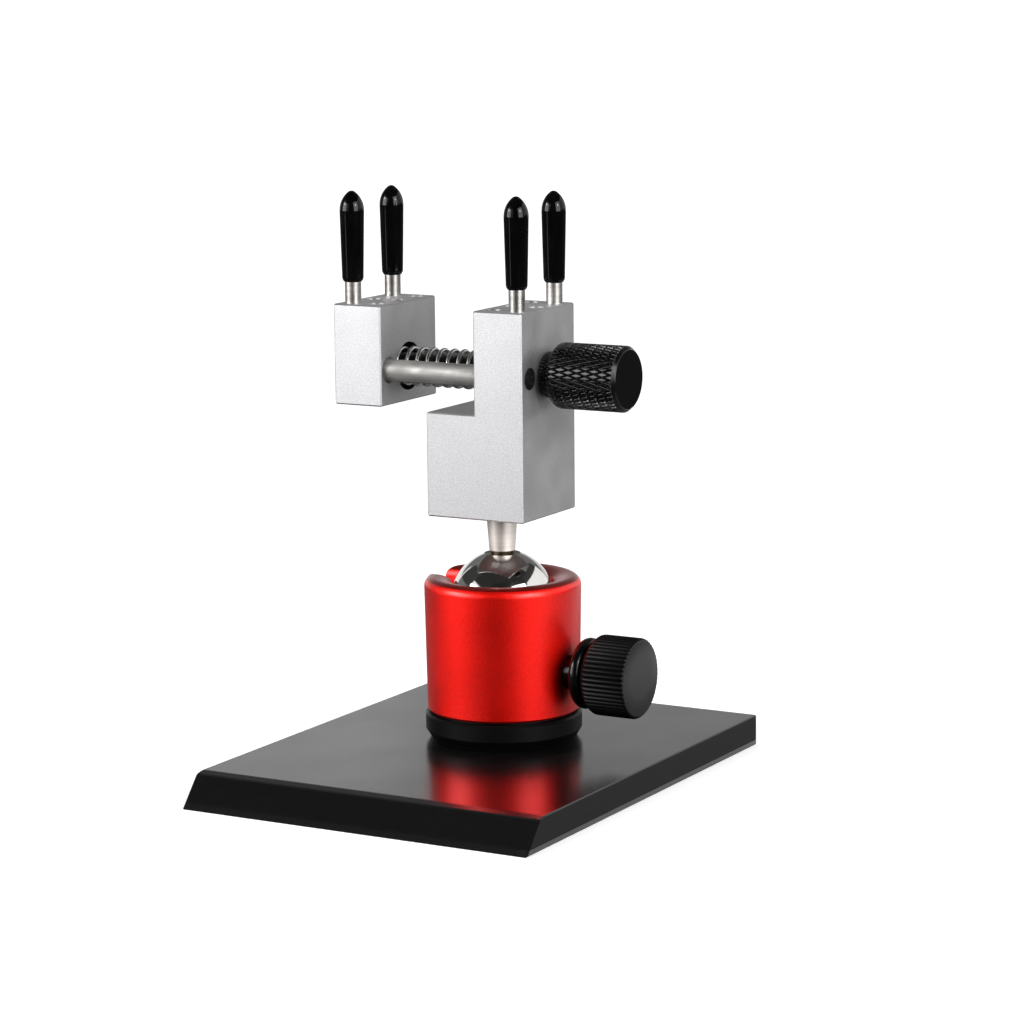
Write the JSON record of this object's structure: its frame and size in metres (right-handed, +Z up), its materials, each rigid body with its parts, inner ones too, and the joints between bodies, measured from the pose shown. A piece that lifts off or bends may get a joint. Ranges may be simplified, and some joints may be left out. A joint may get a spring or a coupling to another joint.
{
  "type": "ball vise",
  "caption": "Small bench vise with pin jaws and soft caps, closed by a knurled lead-screw knob, on a lockable ball head and a bevelled base plate.",
  "frame": {"origin": "middle of the base plate's underside", "axes": "+Z up; +X towards the two knobs; -Y towards the plate's bevelled front"},
  "size_m": [0.07, 0.09, 0.1065],
  "materials": {
    "plate_black": "satin",
    "black_anodised": "satin",
    "red_anodised": "satin",
    "gloss_black": "gloss",
    "chrome": "mirror",
    "nickel": "turned",
    "blasted_aluminium": "bead blasted",
    "bright_steel": "ground",
    "spring_steel": "drawn wire",
    "black_steel": "black oxide",
    "brass": "turned",
    "seat_plastic": "plain",
    "soft_black": "gloss"
  },
  "bodies": {
    "base": {"base_plate": "plate_black", "base_screw": "black_steel", "base_ring": "black_anodised", "housing": "red_anodised", "lock_bushing": "gloss_black"},
    "lock": {"lock_pad": "brass"},
    "lock_handle": {"lock_screw": "black_steel", "lock_knob": "black_anodised"},
    "lift": {"lift_block": "bright_steel"},
    "seat": {"ball_seat": "seat_plastic"},
    "ball": {"ball": "chrome"},
    "vise": {"stem": "nickel", "vise_body": "blasted_aluminium", "guide_rod_front": "bright_steel", "guide_rod_rear": "bright_steel", "spring": "spring_steel"},
    "jaw": {"moving_jaw": "blasted_aluminium"},
    "clamp": {"lead_screw": "black_steel", "clamp_knob": "black_anodised"},
    "pin_fixed_front": {"pin_fixed_front": "bright_steel"},
    "cap_fixed_front": {"cap_fixed_front": "soft_black"},
    "pin_fixed_rear": {"pin_fixed_rear": "bright_steel"},
    "cap_fixed_rear": {"cap_fixed_rear": "soft_black"},
    "pin_moving_front": {"pin_moving_front": "bright_steel"},
    "cap_moving_front": {"cap_moving_front": "soft_black"},
    "pin_moving_rear": {"pin_moving_rear": "bright_steel"},
    "cap_moving_rear": {"cap_moving_rear": "soft_black"}
  },
  "joints": [
    {"name": "lock_slide", "type": "slide", "parent": "base", "child": "lock", "axis": [1, 0, 0], "range_m": [0, 0.0015]},
    {"name": "lock_turn", "type": "hinge", "parent": "lock", "child": "lock_handle", "pos_m": [0, 0.0095, 0.0192], "axis": [1, 0, 0], "range_deg": [0, 676]},
    {"name": "seat_lift", "type": "slide", "parent": "base", "child": "lift", "axis": [0, 0, 1], "range_m": [-0.000225, 0]},
    {"name": "ball_pan", "type": "hinge", "parent": "lift", "child": "seat", "pos_m": [0, 0.0095, 0.031], "axis": [0, 0, 1], "continuous": true},
    {"name": "ball_tilt", "type": "hinge", "parent": "seat", "child": "ball", "pos_m": [0, 0.0095, 0.031], "axis": [0, 1, 0], "range_deg": [-50, 50]},
    {"name": "vise_spin", "type": "hinge", "parent": "ball", "child": "vise", "pos_m": [0, 0.0095, 0.0478], "axis": [0, 0, 1], "continuous": true},
    {"name": "jaw_slide", "type": "slide", "parent": "vise", "child": "jaw", "axis": [1, 0, 0], "range_m": [0, 0.0192], "deforming": ["spring"]},
    {"name": "clamp_turn", "type": "hinge", "parent": "vise", "child": "clamp", "pos_m": [0, 0.0095, 0.0738], "axis": [1, 0, 0], "range_deg": [-8641, 0]},
    {"name": "pin_fixed_front_lift", "type": "slide", "parent": "vise", "child": "pin_fixed_front", "axis": [0, 0, 1], "range_m": [0, 0.0076]},
    {"name": "cap_fixed_front_pull", "type": "slide", "parent": "pin_fixed_front", "child": "cap_fixed_front", "axis": [0, 0, 1], "range_m": [0, 0.0106]},
    {"name": "pin_fixed_rear_lift", "type": "slide", "parent": "vise", "child": "pin_fixed_rear", "axis": [0, 0, 1], "range_m": [0, 0.0076]},
    {"name": "cap_fixed_rear_pull", "type": "slide", "parent": "pin_fixed_rear", "child": "cap_fixed_rear", "axis": [0, 0, 1], "range_m": [0, 0.0106]},
    {"name": "pin_moving_front_lift", "type": "slide", "parent": "jaw", "child": "pin_moving_front", "axis": [0, 0, 1], "range_m": [0, 0.0076]},
    {"name": "cap_moving_front_pull", "type": "slide", "parent": "pin_moving_front", "child": "cap_moving_front", "axis": [0, 0, 1], "range_m": [0, 0.0106]},
    {"name": "pin_moving_rear_lift", "type": "slide", "parent": "jaw", "child": "pin_moving_rear", "axis": [0, 0, 1], "range_m": [0, 0.0076]},
    {"name": "cap_moving_rear_pull", "type": "slide", "parent": "pin_moving_rear", "child": "cap_moving_rear", "axis": [0, 0, 1], "range_m": [0, 0.0106]}
  ],
  "couplings": [
    {"joint": "lock_turn", "follows": "lock_slide", "rad_per_m": 7854},
    {"joint": "seat_lift", "follows": "lock_slide", "ratio": -0.15},
    {"joint": "clamp_turn", "follows": "jaw_slide", "rad_per_m": -7854}
  ]
}
